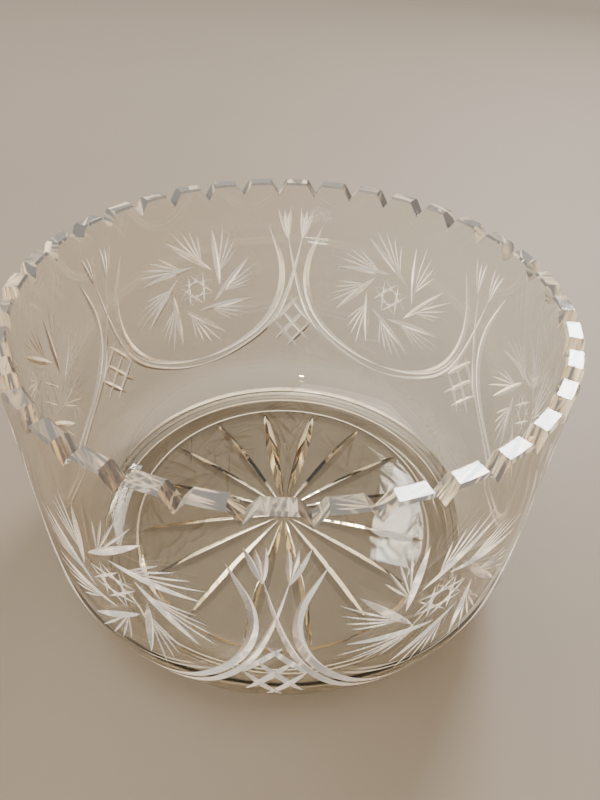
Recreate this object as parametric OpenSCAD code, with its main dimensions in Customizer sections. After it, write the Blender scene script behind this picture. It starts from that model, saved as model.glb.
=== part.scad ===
/* [Bowl] */
// Widest diameter of the wall
bowl_d = 250; // [240:5:260]
// Height from the table to the tops of the rim teeth
bowl_h = 155; // [150:1:170]
// Thickness of the wall
wall_t = 7.5; // [7:0.5:9]
// Thickness of the floor
floor_t = 10; // [9:0.5:12]
// Radius of the round corner between wall and floor, outside
corner_r = 46; // [42:1:50]
// Outer diameter of the foot ring
foot_d = 210; // [206:2:214]
// Inner diameter of the foot ring
foot_inner_d = 200; // [196:2:202]
// Depth of the recess inside the foot ring
foot_recess = 1.2; // [0.8:0.2:2]
// Height of the foot ring
foot_h = 3; // [2:0.5:4]
// Bevel round the inner and outer edges of the rim
rim_bevel = 1; // [0.5:0.25:1.5]

/* [Rim] */
// Number of teeth round the rim
tooth_count = 36; // [30:6:42]
// Share of each tooth's pitch taken by the notch beside it
notch_share = 0.44; // [0.3:0.02:0.5]
// Depth of the notches
notch_depth = 7.5; // [5:0.5:9]

/* [Panels] */
// Number of pinwheel panels round the wall
panel_count = 6; // [5:1:6]
// Height of the pinwheel centres
pinwheel_z = 89; // [86:1:92]
// Blades in each pinwheel
blade_count = 8; // [6:1:10]
// Distance from the pinwheel's centre to the roots of its blades
blade_root_r = 17; // [15:1:20]
// Distance from the pinwheel's centre to the tips of its blades
blade_tip_r = 41; // [36:1:44]
// How far each blade turns round the centre between root and tip
blade_sweep = 62; // [50:1:70]
// Depth of a blade's cut at its deepest
blade_depth = 2.2; // [1.5:0.1:3]
// How far a blade's cutter stands clear of the wall at its tip
blade_runout = 0.2; // [0.1:0.1:0.5]
// Radius of the horseshoe groove round each pinwheel
arch_r = 57; // [55:1:58]
// Height of the horseshoe's centre
arch_z = 94; // [92:1:97]
// Height at which the horseshoe ends
arch_top_z = 128; // [120:1:134]
// Width of the horseshoe grooves
arch_w = 2.6; // [2:0.2:3]
// Depth of the horseshoe grooves
arch_depth = 1.2; // [0.8:0.1:1.6]

/* [Lattice] */
// Height of the centre of the diamond lattice under each pillar
lattice_z = 56; // [54:1:60]
// Distance between neighbouring lines of the lattice
lattice_pitch = 9.5; // [8:0.5:10]
// Steepness of the lattice lines
lattice_lean = 50; // [45:1:55]
// Lines each way in the lattice
lattice_lines = 3; // [2:1:3]
// Depth of the lattice lines that rise to the right
lattice_depth = 0.9; // [0.7:0.1:1.2]
// How much shallower the lines that fall to the right are
lattice_step = 0.2; // [0.2:0.1:0.3]

/* [Base] */
// Number of spokes in the star under the floor
spoke_count = 16; // [12:4:20]
// Distance from the axis to the outer ends of the spokes
spoke_r = 80; // [76:1:81]
// Depth of the spokes at the dimple
spoke_depth = 2.8; // [2:0.2:3]
// Depth of the spokes at their outer ends
spoke_end_depth = 1.2; // [0.6:0.2:1.6]
// Radius of the ring cut that surrounds the spokes
ring_r = 85; // [84:0.5:88]
// Width of the ring cut
ring_w = 3; // [2:0.5:4]
// Depth of the ring cut
ring_depth = 1.4; // [1:0.2:2]
// Radius of the dimple that the spokes run out of
dimple_r = 14; // [12:1:18]

/* [Hidden] */
$fn = 96;
glass = [0.86, 0.90, 0.87];
spare = 6;
bowl_r = bowl_d / 2;
foot_r = foot_d / 2;
tooth_pitch = 360 / tooth_count;
panel_angle = 360 / panel_count;
notch_w = 2 * bowl_r * sin(tooth_pitch * notch_share / 2);
inner_corner_r = corner_r - wall_t;
corner_centre = [bowl_r - corner_r, foot_h + corner_r];
inner_floor_z = foot_h + floor_t;
inner_centre = [corner_centre[0], inner_floor_z + inner_corner_r];

// Half of a filled upright section with a round lower corner, from the axis outwards:
// flare widens its top edge over the height of the rim's bevel
module tub_section(radius, bottom, centre, corner, flare, over) {
    translate([0, bottom]) square([centre[0], centre[1] - bottom]);
    intersection() {
        translate(centre) circle(corner);
        translate([centre[0], bottom]) square(corner);
    }
    polygon([[0, centre[1]], [radius, centre[1]], [radius, bowl_h - rim_bevel],
             [radius + flare, bowl_h], [radius + flare, bowl_h + over], [0, bowl_h + over]]);
}

// The outside of the blown and turned blank, with its foot ring
module blank_outside() {
    rotate_extrude() tub_section(bowl_r, foot_h, corner_centre, corner_r, -rim_bevel, 0);
    cylinder(h = corner_centre[1] / 2, r = foot_r);
}

// The room inside the bowl, open at the top
module blank_inside() {
    rotate_extrude()
        tub_section(bowl_r - wall_t, inner_floor_z, inner_centre, inner_corner_r, rim_bevel, spare);
}

// A bar with a V-shaped lower edge: it lies along X, its edge at z = 0, and widens upwards
module mitre_bar(length, width, height) {
    rotate([90, 0, 90]) linear_extrude(length) polygon([[0, 0], [width / 2, height], [-width / 2, height]]);
}

// Puts children on the outside of the wall: X runs round the wall, Y upwards and Z outwards
module on_wall(angle, z, radius = bowl_r) {
    rotate([0, 0, angle]) translate([0, -radius, z]) rotate([90, 0, 0]) children();
}

// The notches that part the teeth, with a tooth's centre over each pillar
module rim_notches() {
    for (i = [0 : tooth_count - 1])
        rotate([0, 0, (i + 0.5) * tooth_pitch])
            translate([0, -bowl_r - spare, bowl_h - notch_depth])
                rotate([90, 0, 180]) linear_extrude(wall_t + 3 * spare)
                    polygon([[0, 0], [notch_w / 2, notch_depth], [notch_w / 2, notch_depth + spare],
                             [-notch_w / 2, notch_depth + spare], [-notch_w / 2, notch_depth]]);
}

// A point beside on_wall's origin, s round the wall's curve and y upwards, sunk below its surface
function wall_point(s, y, depth) =
    let (turn = s / bowl_r * 180 / PI, radius = bowl_r - depth)
    [radius * sin(turn), y, radius * cos(turn) - bowl_r];

// A straight mitre cut between two points beside on_wall's origin, with its depth at each end
module mitre_cut(start, end, start_depth, end_depth) {
    low = wall_point(start[0], start[1], start_depth);
    run = wall_point(end[0], end[1], end_depth) - low;
    reach = norm(run);
    translate(low) rotate([0, 0, atan2(run[1], run[0])]) rotate([0, -asin(run[2] / reach), 0])
        mitre_bar(reach, 3 * spare, 2 * spare);
}

// One pinwheel of long tapered blades, each deepest at its root
module pinwheel_cuts() {
    for (i = [0 : blade_count - 1]) {
        root_turn = -(i + 0.5) * 360 / blade_count;
        tip_turn = root_turn - blade_sweep;
        mitre_cut(blade_root_r * [cos(root_turn), sin(root_turn)],
                  blade_tip_r * [cos(tip_turn), sin(tip_turn)], blade_depth, -blade_runout);
    }
}

// The horseshoe groove that frames a pinwheel, with an even depth round the wall
module arch_groove(radius, width) {
    difference() {
        intersection() {
            on_wall(0, arch_z, bowl_r / 2) difference() {
                cylinder(h = bowl_r / 2 + spare, r = radius + width / 2);
                translate([0, 0, -1]) cylinder(h = bowl_r / 2 + 2 * spare, r = radius - width / 2);
            }
            translate([0, 0, arch_z - 2 * arch_r])
                cylinder(h = arch_top_z - arch_z + 2 * arch_r, r = bowl_r + spare);
        }
        cylinder(h = bowl_h, r = bowl_r - arch_depth);
    }
}

// Crossed lines that leave a patch of diamonds below a pillar
module lattice_cuts() {
    reach = (lattice_lines + 1) * lattice_pitch / 2;
    for (i = [0 : lattice_lines - 1], lean = [-1, 1]) {
        depth = lattice_depth - (lean > 0 ? 0 : lattice_step);
        along = [cos(lattice_lean), lean * sin(lattice_lean)];
        middle = (i - (lattice_lines - 1) / 2) * lattice_pitch * [-along[1], along[0]];
        mitre_cut(middle - reach * along, middle + reach * along, depth, depth);
    }
}

// The recess inside the foot ring, with a ring cut round a star of spokes that run out of a dimple
module base_star() {
    reach = spoke_r - dimple_r;
    ring_top = foot_recess + ring_depth;
    ring_side = ring_w / 2 / ring_depth * (ring_top + 1);
    fall = atan((spoke_depth - spoke_end_depth) / reach);
    translate([0, 0, -1]) cylinder(h = foot_recess + 1, r = foot_inner_d / 2);
    cylinder(h = foot_recess + spoke_depth, r = dimple_r);
    rotate_extrude() polygon([[ring_r, ring_top], [ring_r + ring_side, -1], [ring_r - ring_side, -1]]);
    for (i = [0 : spoke_count - 1])
        rotate([0, 0, (i + 0.5) * 360 / spoke_count + 90])
            translate([dimple_r - 1, 0, foot_recess + spoke_depth])
                rotate([0, fall, 0]) mirror([0, 0, 1]) mitre_bar(reach, 3 * spare, 2 * spare);
}

// The whole bowl: one piece of glass, turned hollow and then cut on the wheel
module bowl() {
    color(glass) difference() {
        blank_outside();
        blank_inside();
        rim_notches();
        for (i = [0 : panel_count - 1]) rotate([0, 0, (i + 0.5) * panel_angle]) {
            arch_groove(arch_r, arch_w);
            on_wall(0, pinwheel_z) pinwheel_cuts();
            on_wall(panel_angle / 2, lattice_z) lattice_cuts();
        }
        base_star();
    }
}

bowl();
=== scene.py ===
import math

import bmesh
import bpy
from mathutils import Matrix, Vector
from mathutils.geometry import interpolate_bezier


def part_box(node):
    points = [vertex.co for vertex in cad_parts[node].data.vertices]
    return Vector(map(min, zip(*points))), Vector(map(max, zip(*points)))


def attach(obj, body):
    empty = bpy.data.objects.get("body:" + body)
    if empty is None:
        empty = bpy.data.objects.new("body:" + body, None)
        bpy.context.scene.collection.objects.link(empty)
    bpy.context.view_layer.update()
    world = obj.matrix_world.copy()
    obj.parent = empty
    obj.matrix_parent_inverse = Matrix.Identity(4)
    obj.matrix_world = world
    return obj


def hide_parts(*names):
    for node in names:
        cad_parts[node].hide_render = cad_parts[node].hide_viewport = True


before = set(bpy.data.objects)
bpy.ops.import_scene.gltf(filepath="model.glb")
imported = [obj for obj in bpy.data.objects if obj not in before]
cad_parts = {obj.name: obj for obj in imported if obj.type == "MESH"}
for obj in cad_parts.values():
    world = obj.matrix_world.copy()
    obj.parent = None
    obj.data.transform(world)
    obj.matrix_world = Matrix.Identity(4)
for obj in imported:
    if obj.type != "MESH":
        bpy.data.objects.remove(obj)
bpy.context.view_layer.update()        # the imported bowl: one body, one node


# ---- Camera ----
# A hand-held look down into the bowl from its near side, with one pillar between two pinwheels
# straight across on the far wall. Its place, above the rim, is in shares of the radius of the
# rim's teeth. Light is followed through many faces of glass.
mm = 0.001
low, high = (Vector(corner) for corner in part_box("bowl"))
wall_radius = (high.x - low.x) / 2
bowl_height = high.z - low.z
tooth_circle = wall_radius * 0.972
camera_place = Vector((0.030, -2.05, 1.251)) * tooth_circle + Vector((0, 0, bowl_height))
look_down, look_right, roll = math.radians(40.8), math.radians(0.6), math.radians(2.7)
glass_bounces = 20

camera_data = bpy.data.cameras.new("camera")
camera_data.sensor_width = 36.0
camera_data.lens = 29.4
camera = bpy.data.objects.new("camera", camera_data)
camera.matrix_world = (
    Matrix.Translation(camera_place)
    @ Matrix.Rotation(-look_right, 4, "Z")
    @ Matrix.Rotation(math.pi / 2 - look_down, 4, "X")
    @ Matrix.Rotation(roll, 4, "Z")
)
bpy.context.collection.objects.link(camera)
scene = bpy.context.scene
scene.camera = camera
scene.cycles.max_bounces = glass_bounces
scene.cycles.transmission_bounces = glass_bounces
scene.view_settings.look = "AgX - Medium High Contrast"


# ---- Floor and light ----
# A plain pale table top under a bright studio sky and one big soft box. A window-like box behind
# on the right lights the flat tops of the near teeth, and a small warm lamp in front sparkles
# on the wall.
class Socket:
    """One output of a node. Arithmetic on it adds Math nodes."""

    def __init__(self, tree, output):
        self.tree, self.output = tree, output

    def maths(self, operation, other):
        return self.tree.node("ShaderNodeMath", {"operation": operation}, {0: self, 1: other})

    def __add__(self, other):
        return self.maths("ADD", other)

    def __mul__(self, other):
        return self.maths("MULTIPLY", other)

    __radd__, __rmul__ = __add__, __mul__


class Tree:
    """A material's nodes, each made with its settings first and then its sockets."""

    def __init__(self, name):
        self.material = bpy.data.materials.new(name)
        self.material.use_nodes = True
        self.tree = self.material.node_tree
        self.shader = self.tree.nodes["Principled BSDF"]

    def node(self, kind, settings, sockets, output=0):
        made = self.tree.nodes.new(kind)
        for name, value in settings.items():
            setattr(made, name, value)
        self.fill(made, sockets)
        return Socket(self, made.outputs[output])

    def fill(self, made, sockets):
        for name, value in sockets.items():
            if isinstance(value, Socket):
                self.tree.links.new(value.output, made.inputs[name])
            else:
                made.inputs[name].default_value = value

    def noise(self, scale, detail):
        place = self.node("ShaderNodeTexCoord", {}, {}, "Object")
        return self.node("ShaderNodeTexNoise", {}, {"Vector": place, "Scale": scale, "Detail": detail}, "Fac")

    def mix(self, share, first, second):
        return self.node("ShaderNodeMix", {"data_type": "RGBA"}, {0: share, 6: first, 7: second}, 2)


def soft_box(name, place, target, size, power, colour):
    """A rectangular lamp at a place, facing a target."""
    data = bpy.data.lights.new(name, "AREA")
    data.shape = "RECTANGLE"
    data.size, data.size_y = size
    data.energy = power
    data.color = colour
    lamp = bpy.data.objects.new(name, data)
    aim = (Vector(target) - Vector(place)).to_track_quat("-Z", "Y")
    lamp.matrix_world = Matrix.Translation(place) @ aim.to_matrix().to_4x4()
    bpy.context.collection.objects.link(lamp)


floor_radius = 6.0
floor_drop = 0.3 * mm       # keeps the table's face apart from the foot's
bm = bmesh.new()
bmesh.ops.create_circle(bm, cap_ends=True, segments=96, radius=floor_radius)
bmesh.ops.translate(bm, verts=bm.verts, vec=(0, 0, -floor_drop))
floor_mesh = bpy.data.meshes.new("floor")
bm.to_mesh(floor_mesh)
bm.free()
floor = bpy.data.objects.new("floor", floor_mesh)
bpy.context.collection.objects.link(floor)
table = Tree("table_top")
cloud = table.noise(3.0, 4.0)
table.fill(table.shader, {
    "Base Color": table.mix(cloud, (0.165, 0.138, 0.108, 1), (0.195, 0.165, 0.132, 1)),
    "Roughness": cloud * 0.1 + 0.55,
})
floor_mesh.materials.append(table.material)

soft_box("overhead_box", (-0.5, 0.1, 1.5), (0, 0, 0), (1.0, 1.0), 6, (1.0, 0.96, 0.90))
soft_box("window_box", (0.70, 1.45, 1.57), (0.55, 0, 1.4), (0.62, 0.95), 60, (0.90, 0.95, 1.0))
soft_box("warm_lamp", (-0.15, -0.9, 1.5), (0, 0, 0.05), (0.06, 0.06), 6, (1.0, 0.78, 0.45))

horizon, zenith = (0.55, 0.46, 0.38, 1), (1.6, 1.5, 1.36, 1)
zenith_from = 0.5
world = bpy.data.worlds.new("studio")
world.use_nodes = True
sky = world.node_tree
sky_place = sky.nodes.new("ShaderNodeTexCoord")
sky_parts = sky.nodes.new("ShaderNodeSeparateXYZ")
sky_ramp = sky.nodes.new("ShaderNodeValToRGB")
for stop, position, colour in zip(sky_ramp.color_ramp.elements, (0.0, zenith_from), (horizon, zenith)):
    stop.position = position
    stop.color = colour
sky.links.new(sky_place.outputs["Generated"], sky_parts.inputs[0])
sky.links.new(sky_parts.outputs["Z"], sky_ramp.inputs["Fac"])
sky.links.new(sky_ramp.outputs["Color"], sky.nodes["Background"].inputs["Color"])
scene.world = world


# ---- Blank ----
# The bowl is one piece of clear lead glass, blown into a mould and turned: a nearly straight
# wall, a round lower corner, a thick floor and a foot ring with a shallow recess inside it.
wall_thickness = 7.5 * mm
floor_top = 13 * mm
corner_radius = 46 * mm
corner_height = 49 * mm
corner_axis = wall_radius - corner_radius
inner_corner = corner_radius - wall_thickness
inner_height = floor_top + inner_corner
foot_radius = 105 * mm
foot_inner = 100 * mm
foot_recess = 1.2 * mm
foot_bevel = 0.8 * mm
rim_bevel = 1.0 * mm
turns = 360
merge_distance = 0.001 * mm


def arc(centre, radius, start, stop, steps):
    """Points of an upright arc in the half-section, angles in degrees from the wall's side."""
    angles = [math.radians(start + (stop - start) * i / steps) for i in range(steps + 1)]
    return [(centre[0] + radius * math.cos(a), centre[1] + radius * math.sin(a)) for a in angles]


def rows(radius, bottom, top, count):
    """Points up or down a straight stretch of wall."""
    return [(radius, bottom + (top - bottom) * i / count) for i in range(count + 1)]


foot_angle = -math.degrees(math.acos((foot_radius - corner_axis) / corner_radius))
section = (
    [(0, foot_recess), (foot_inner / 2, foot_recess), (foot_inner, foot_recess)]
    + [(foot_inner + foot_bevel, 0), (foot_radius - foot_bevel, 0), (foot_radius, foot_bevel)]
    + arc((corner_axis, corner_height), corner_radius, foot_angle, 0, 28)
    + rows(wall_radius, corner_height, bowl_height - rim_bevel, 20)[1:]
    + [(wall_radius - rim_bevel, bowl_height), (wall_radius - wall_thickness + rim_bevel, bowl_height)]
    + rows(wall_radius - wall_thickness, bowl_height - rim_bevel, inner_height, 10)
    + arc((corner_axis, inner_height), inner_corner, 0, -90, 24)[1:]
    + [(corner_axis * share, floor_top) for share in (0.66, 0.33, 0)]
)
bm = bmesh.new()
line = [bm.verts.new((r, 0, z)) for r, z in section]
edges = [bm.edges.new(pair) for pair in zip(line, line[1:])]
bmesh.ops.spin(bm, geom=line + edges, axis=(0, 0, 1), angle=math.tau, steps=turns, use_merge=True)
bmesh.ops.remove_doubles(bm, verts=bm.verts, dist=merge_distance)
bmesh.ops.recalc_face_normals(bm, faces=bm.faces)
bowl_mesh = bpy.data.meshes.new("cut_glass_bowl")
bm.to_mesh(bowl_mesh)
bm.free()
bowl = bpy.data.objects.new("cut_glass_bowl", bowl_mesh)
bpy.context.collection.objects.link(bowl)


# ---- Glass ----
# Clear lead glass with a faint warm cast and slow waves from the mould. The polished wall is
# bright and smooth, the cuts keep the fine grain of the smoothing wheel, and the ground rim lies
# between the two. The cuts, and more faintly the rim, also get painted light: a painted glow and
# painted highlight on facets that face up and to the left, and painted shade on those facing away.
clear_cool, clear_warm = (0.965, 0.955, 0.925, 1), (0.985, 0.975, 0.950, 1)
# Painted glow colours: dim on facets that face away from the painted light's way, full on those that face it.
painted_glow_dim, painted_glow_full = (0.16, 0.10, 0.06, 1), (1.0, 0.93, 0.82, 1)
# The fixed way, up and to the left, from which the facets' painted highlight and painted shade are worked
# out.
painted_light_way = (-0.6, -0.3, 0.75)
wave_scale, wave_depth = 14.0, 0.08 * mm
lead_index = 1.54
depth_colour, depth_density = (0.95, 0.91, 0.82, 1), 50.0


def glass(name, polish, roughness, grain, grain_depth, painted_shade_colour, painted_glow_strength):
    """Painted light by the way each facet faces: those that face up and to the left keep the clear
    colour and get a bright painted glow, and those that face away take a dark painted shade colour."""
    made = Tree(name)
    wave = made.noise(wave_scale, 2.0)
    fine = made.noise(grain, 3.0)
    bump = made.node("ShaderNodeBump", {}, {
        "Strength": 1.0,
        "Distance": 1.0,
        "Height": wave * wave_depth + fine * grain_depth,
    })
    facet = made.node("ShaderNodeTexCoord", {}, {}, "Normal")
    sockets = {0: facet, 1: painted_light_way}
    # Painted light: how far each facet faces the fixed way, which lightens its colour and its glow.
    painted_lit = made.node("ShaderNodeVectorMath", {"operation": "DOT_PRODUCT"}, sockets, "Value") * 1.2 + 0.45
    made.fill(made.shader, {
        # Painted shade: facets that face away take the dark shade colour instead of the clear tint.
        "Base Color": made.mix(painted_lit, painted_shade_colour, made.mix(wave, clear_cool, clear_warm)),
        "Roughness": fine * roughness + polish,
        "Normal": bump,
        "IOR": lead_index,
        "Transmission Weight": 1.0,
        # Painted glow: the faces glow though no lamp is there, brighter on facets that face up and to the
        # left.
        "Emission Color": made.mix(painted_lit, painted_glow_dim, painted_glow_full),
        "Emission Strength": painted_glow_strength,
    })
    depth = made.node("ShaderNodeVolumeAbsorption", {}, {"Color": depth_colour, "Density": depth_density})
    made.fill(made.tree.nodes["Material Output"], {"Volume": depth})
    return made.material


bowl_mesh.materials.append(glass("polished_glass", 0.0, 0.02, 160.0, 0.002 * mm, clear_cool, 0.0))
# The cuts and, more faintly, the ground rim get painted light: a painted glow and a painted shade colour,
# dark brown on the cuts and paler on the rim.
bowl_mesh.materials.append(glass("cut_glass", 0.08, 0.3, 900.0, 0.008 * mm, (0.40, 0.29, 0.20, 1), 0.62))
bowl_mesh.materials.append(glass("rim_glass", 0.02, 0.1, 160.0, 0.002 * mm, (0.62, 0.52, 0.42, 1), 0.22))
polished, satin, ground_rim = range(3)


# ---- Rim ----
# The rim is ground into flat-topped teeth, six to a panel, by a V-shaped wheel that is run
# straight in through the wall. A tooth stands over each pillar.
tooth_count = 36
notch_depth = 7.5 * mm
notch_width = 0.44 * math.tau * wall_radius / tooth_count
notch_rise = 2 * mm         # how far the wheel stands above the rim


def grind(tool, finish):
    """Takes the tool's solids away from the bowl, and gives the faces that they leave a finish."""
    bmesh.ops.recalc_face_normals(tool, faces=tool.faces)
    mesh = bpy.data.meshes.new("tool")
    tool.to_mesh(mesh)
    tool.free()
    for material in bowl.data.materials:
        mesh.materials.append(material)
    mesh.polygons.foreach_set("material_index", [finish] * len(mesh.polygons))
    wheel = bpy.data.objects.new("tool", mesh)
    bpy.context.collection.objects.link(wheel)
    cut = bowl.modifiers.new("cut", "BOOLEAN")
    cut.operation = "DIFFERENCE"
    cut.solver = "MANIFOLD"
    cut.object = wheel
    ground = bpy.data.meshes.new_from_object(bowl.evaluated_get(bpy.context.evaluated_depsgraph_get()))
    bowl.modifiers.clear()
    worn = bowl.data
    bowl.data = ground
    bpy.data.meshes.remove(worn)
    bpy.data.objects.remove(wheel)
    bpy.data.meshes.remove(mesh)


def sweep(tool, sections):
    """One closed bar through three-cornered sections, made by extruding its first outline."""
    corners = [tool.verts.new(point) for point in sections[0]]
    tool.faces.new(corners)
    ring = [tool.edges.get((corners[i], corners[i - 1])) for i in range(3)]
    for section in sections[1:]:
        grown = bmesh.ops.extrude_edge_only(tool, edges=ring)["geom"]
        fresh = {item for item in grown if isinstance(item, bmesh.types.BMVert)}
        ring = [item for item in grown if isinstance(item, bmesh.types.BMEdge)]
        corners = [
            next(e.other_vert(c) for e in c.link_edges if e.other_vert(c) in fresh) for c in corners
        ]
        for corner, point in zip(corners, section):
            corner.co = point
    tool.faces.new(corners)


for face in bowl_mesh.polygons:
    if face.center.z > bowl_height - rim_bevel:
        face.material_index = ground_rim

tool = bmesh.new()
notch_top = bowl_height + notch_rise
half = notch_width / 2 * (notch_depth + notch_rise) / notch_depth
outline = [(0, bowl_height - notch_depth), (half, notch_top), (-half, notch_top)]
for i in range(tooth_count):
    turn = Matrix.Rotation((i + 0.5) * math.tau / tooth_count, 4, "Z")
    sweep(tool, [
        [turn @ Vector((x, radius, z)) for x, z in outline]
        for radius in (wall_radius - 2 * wall_thickness, wall_radius + wall_thickness)
    ])
grind(tool, ground_rim)


# ---- Pinwheels ----
# Six pinwheels are cut round the outside of the wall. Each has eight long mitre blades that
# turn clockwise as seen from outside, a fan of thin rays beside every blade, and a small star
# of crossed lines at the centre.
panel_count = 6
panel = math.tau / panel_count
pinwheel_height = 89 * mm
blade_count = 8
blade_root, blade_tip = 16.0 * mm, 41.0 * mm
blade_sweep = math.radians(72)
blade_depth = 1.65 * mm
ray_start = 0.22            # share of the blade's length at which its rays begin
ray_spreads = ((-13, 0.86), (-23, 0.74), (-33, 0.64), (-44, 0.52))      # degrees, share of the blade
ray_depth = 0.52 * mm
star_radius = 12.6 * mm
star_depth = 0.62 * mm
mitre_half_angle = math.radians(50)
stand_off = 0.6 * mm        # how far a wheel's solid stands out of the glass
run_out = 0.03 * mm         # how far it is lifted, so that a cut dies away before its ends


def on_wall(s, z):
    """Point and outward direction at s metres round the wall from +Y (to the right as seen
    from outside) and height z."""
    turn = s / wall_radius
    below = max(0.0, corner_height - z)
    tilt = math.asin(below / corner_radius)
    radius = corner_axis + corner_radius * math.cos(tilt)
    across = Vector((-math.sin(turn), math.cos(turn), 0))
    return across * radius + Vector((0, 0, z)), across * math.cos(tilt) - Vector((0, 0, math.sin(tilt)))


def mitre(tool, path, depth, lean=1.0, ends=0.0):
    """A V-shaped cut along a path on the wall. It is deepest where share ** lean is one half,
    and keeps the share ends of its depth at both ends."""
    sections = []
    last = len(path) - 1
    for i, (s, z) in enumerate(path):
        point, out = on_wall(s, z)
        ahead = on_wall(*path[min(i + 1, last)])[0] - on_wall(*path[max(i - 1, 0)])[0]
        side = out.cross(ahead).normalized()
        share = (i / last) ** lean
        sink = depth * (ends + (1 - ends) * 4 * share * (1 - share)) - run_out
        reach = (sink + stand_off) * math.tan(mitre_half_angle)
        sections.append([
            point - out * sink,
            point + out * stand_off + side * reach,
            point + out * stand_off - side * reach,
        ])
    sweep(tool, sections)


def straight(start, end, steps=8):
    return [
        (start[0] + (end[0] - start[0]) * i / steps, start[1] + (end[1] - start[1]) * i / steps)
        for i in range(steps + 1)
    ]


def polar(radius, angle):
    return Vector((radius * math.cos(angle), radius * math.sin(angle)))


def panels():
    """Where the middle of each pinwheel panel lies round the wall."""
    return [(i + 0.5) * panel * wall_radius for i in range(panel_count)]


def blades():
    """Root and tip of each blade, about a pinwheel's centre."""
    for i in range(blade_count):
        angle = i * math.tau / blade_count
        yield polar(blade_root, angle), polar(blade_tip, angle - blade_sweep)


def shifted(path, s, z):
    return [(s + x, z + y) for x, y in path]


# Neighbouring blades, and the rays of one spread at a time, are cut in passes that never touch.
for parity in range(2):
    tool = bmesh.new()
    for s in panels():
        for root, tip in list(blades())[parity::2]:
            mitre(tool, shifted(straight(root, tip, 10), s, pinwheel_height), blade_depth, 0.9)
    grind(tool, satin)

for spread, length in ray_spreads:
    tool = bmesh.new()
    for s in panels():
        for root, tip in blades():
            start = root.lerp(tip, ray_start)
            along = Matrix.Rotation(math.radians(-spread), 2) @ ((tip - root) * length)
            mitre(tool, shifted(straight(start, start + along), s, pinwheel_height), ray_depth, 1.2)
    grind(tool, satin)

for i in range(blade_count // 2):
    tool = bmesh.new()
    for s in panels():
        for first in (i, i + blade_count // 2):
            points = [polar(star_radius, (corner + 0.5) * math.tau / 8) for corner in (first, first + 3)]
            mitre(tool, shifted(straight(*points), s, pinwheel_height), star_depth)
    grind(tool, satin)


# ---- Arches ----
# A horseshoe frames each pinwheel with two deep curved mitres that lean towards it at the top
# and thin out at the bottom. Beside them a lighter pair runs down the same way, crosses at the
# pillar's waist and opens into a fan of rays below the rim.
arch_radius, arch_centre, arch_depth = 57.5 * mm, 93 * mm, 1.8 * mm
arch_top_step, arch_top_lean = 2.6 * mm, 0.36
outer_radius, outer_depth = 62.0 * mm, 1.4 * mm
half_panel = panel * wall_radius / 2
fan_root = (half_panel + 4.6 * mm, 25 * mm)
fan_tips = ((3.4 * mm, 46.0 * mm), (7.0 * mm, 44.5 * mm), (11.0 * mm, 45.0 * mm))
fan_depth = 1.1 * mm


def arch_path():
    """From the bottom of the panel up its right side, about the panel's middle."""
    path = [tuple(polar(arch_radius, math.radians(a))) for a in range(-94, 19, 4)]
    x, y = path[-1]
    return path + [(x - arch_top_step * i * arch_top_lean, y + arch_top_step * i) for i in range(1, 8)]


def outer_path():
    """The outer curve: round the panel's lower corner, over the pillar and up to the fan."""
    path = [tuple(polar(outer_radius, math.radians(a))) for a in range(-98, -25, 4)]
    x, y = path[-1]
    curve = interpolate_bezier(
        Vector((x, y)), Vector((x + 7 * mm, y + 15 * mm)),
        Vector((half_panel + 2.2 * mm, 13 * mm)), Vector((half_panel + 5.2 * mm, 32 * mm)), 12)
    return path + [tuple(p) for p in curve[1:]]


def mirrored(path):
    return [(-x, y) for x, y in path]


for path, depth, lean in ((arch_path(), arch_depth, 1.1), (outer_path(), outer_depth, 1.0)):
    for side in (path, mirrored(path)):
        tool = bmesh.new()
        for s in panels():
            mitre(tool, shifted(side, s, arch_centre), depth, lean)
        grind(tool, satin)

for past_pillar, height in fan_tips:
    ray = straight(fan_root, (half_panel + past_pillar, height))
    tool = bmesh.new()
    for s in panels():
        for side in (ray, mirrored(ray)):
            mitre(tool, shifted(side, s, arch_centre), fan_depth, 0.9)
    grind(tool, satin)


# ---- Lattice ----
# Under each pillar, between the legs of the arches, three lines each way leave a patch of
# raised diamonds. The lines overrun at the bottom.
lattice_depth = 1.4 * mm
lattice_ends = 0.25
lattice_lines = (((-11.5, 42.5), (7.5, 66.5)), ((-3.0, 37.5), (12.5, 57.5)), ((-12.5, 57.5), (2.5, 76.5)))
for flip in (1, -1):
    tool = bmesh.new()
    for i in range(panel_count):
        for start, end in lattice_lines:
            path = straight((flip * start[0] * mm, start[1] * mm), (flip * end[0] * mm, end[1] * mm))
            mitre(tool, shifted(path, i * panel * wall_radius, 0), lattice_depth, 1.0, lattice_ends)
    grind(tool, satin)


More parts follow.
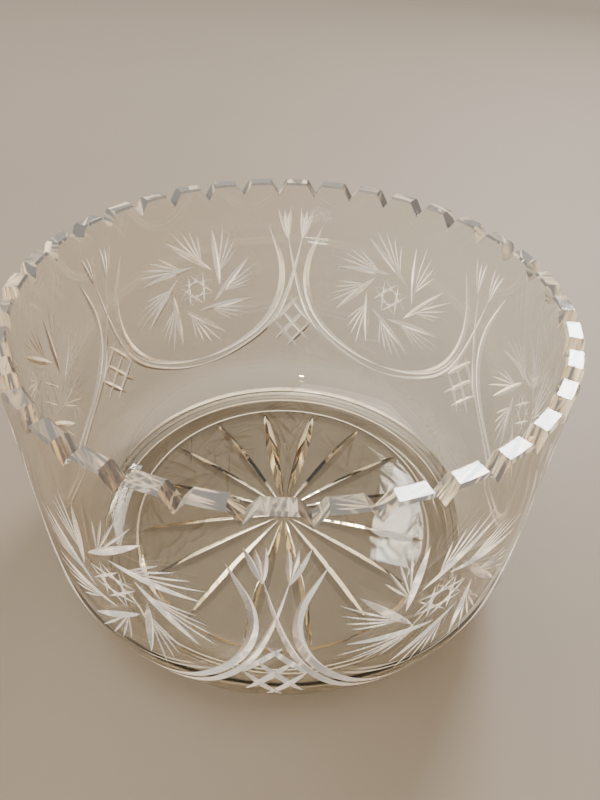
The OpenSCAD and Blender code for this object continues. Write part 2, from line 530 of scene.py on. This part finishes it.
# ---- Base star ----
# Sixteen broad mitres under the floor, inside the foot ring, all pointing at the centre. A ring
# cut joins their outer ends.
spoke_count = 16
spoke_inner, spoke_outer = 4 * mm, 84.5 * mm
spoke_depth = 2.6 * mm
spoke_half_angle = math.radians(52)
spoke_steps = 14
ring_radius, ring_depth = 85.5 * mm, 1.2 * mm


def spoke_sink(share):
    """Depth along a spoke: it reaches nearly its full depth soon after each end."""
    if 0 < share < 1:
        return spoke_depth * math.sin(math.pi * share ** 1.2) ** 0.6 - run_out
    return -run_out


tool = bmesh.new()
for i in range(spoke_count):
    turn = Matrix.Rotation((i + 0.5) * math.tau / spoke_count, 4, "Z")
    sections = []
    for step in range(spoke_steps + 1):
        share = step / spoke_steps
        radius = spoke_inner + (spoke_outer - spoke_inner) * share
        sink = spoke_sink(share)
        reach = (sink + stand_off) * math.tan(spoke_half_angle)
        sections.append([turn @ Vector(p) for p in (
            (0, radius, foot_recess + sink),
            (reach, radius, foot_recess - stand_off),
            (-reach, radius, foot_recess - stand_off),
        )])
    sweep(tool, sections)
grind(tool, polished)

tool = bmesh.new()
ring_reach = (ring_depth + stand_off) * math.tan(spoke_half_angle)
corners = [tool.verts.new((ring_radius + x, 0, foot_recess + z)) for x, z in (
    (0, ring_depth), (ring_reach, -stand_off), (-ring_reach, -stand_off))]
edges = [tool.edges.new((corners[i], corners[i - 1])) for i in range(3)]
bmesh.ops.spin(tool, geom=corners + edges, axis=(0, 0, 1), angle=math.tau, steps=turns // 2, use_merge=True)
grind(tool, polished)


# ---- Finished bowl ----
# The edges of the cuts stay crisp, and the turned faces are smooth. The whole bowl is one piece
# and stands for the one CAD node.
crisp_angle = math.radians(14)
sliver = 0.002 * mm
bm = bmesh.new()
bm.from_mesh(bowl.data)
bmesh.ops.remove_doubles(bm, verts=bm.verts, dist=sliver)
for face in bm.faces:
    face.smooth = True
for edge in bm.edges:
    edge.smooth = edge.is_manifold and edge.calc_face_angle(0) < crisp_angle
bm.to_mesh(bowl.data)
bm.free()
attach(bowl, "root")
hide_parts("bowl")
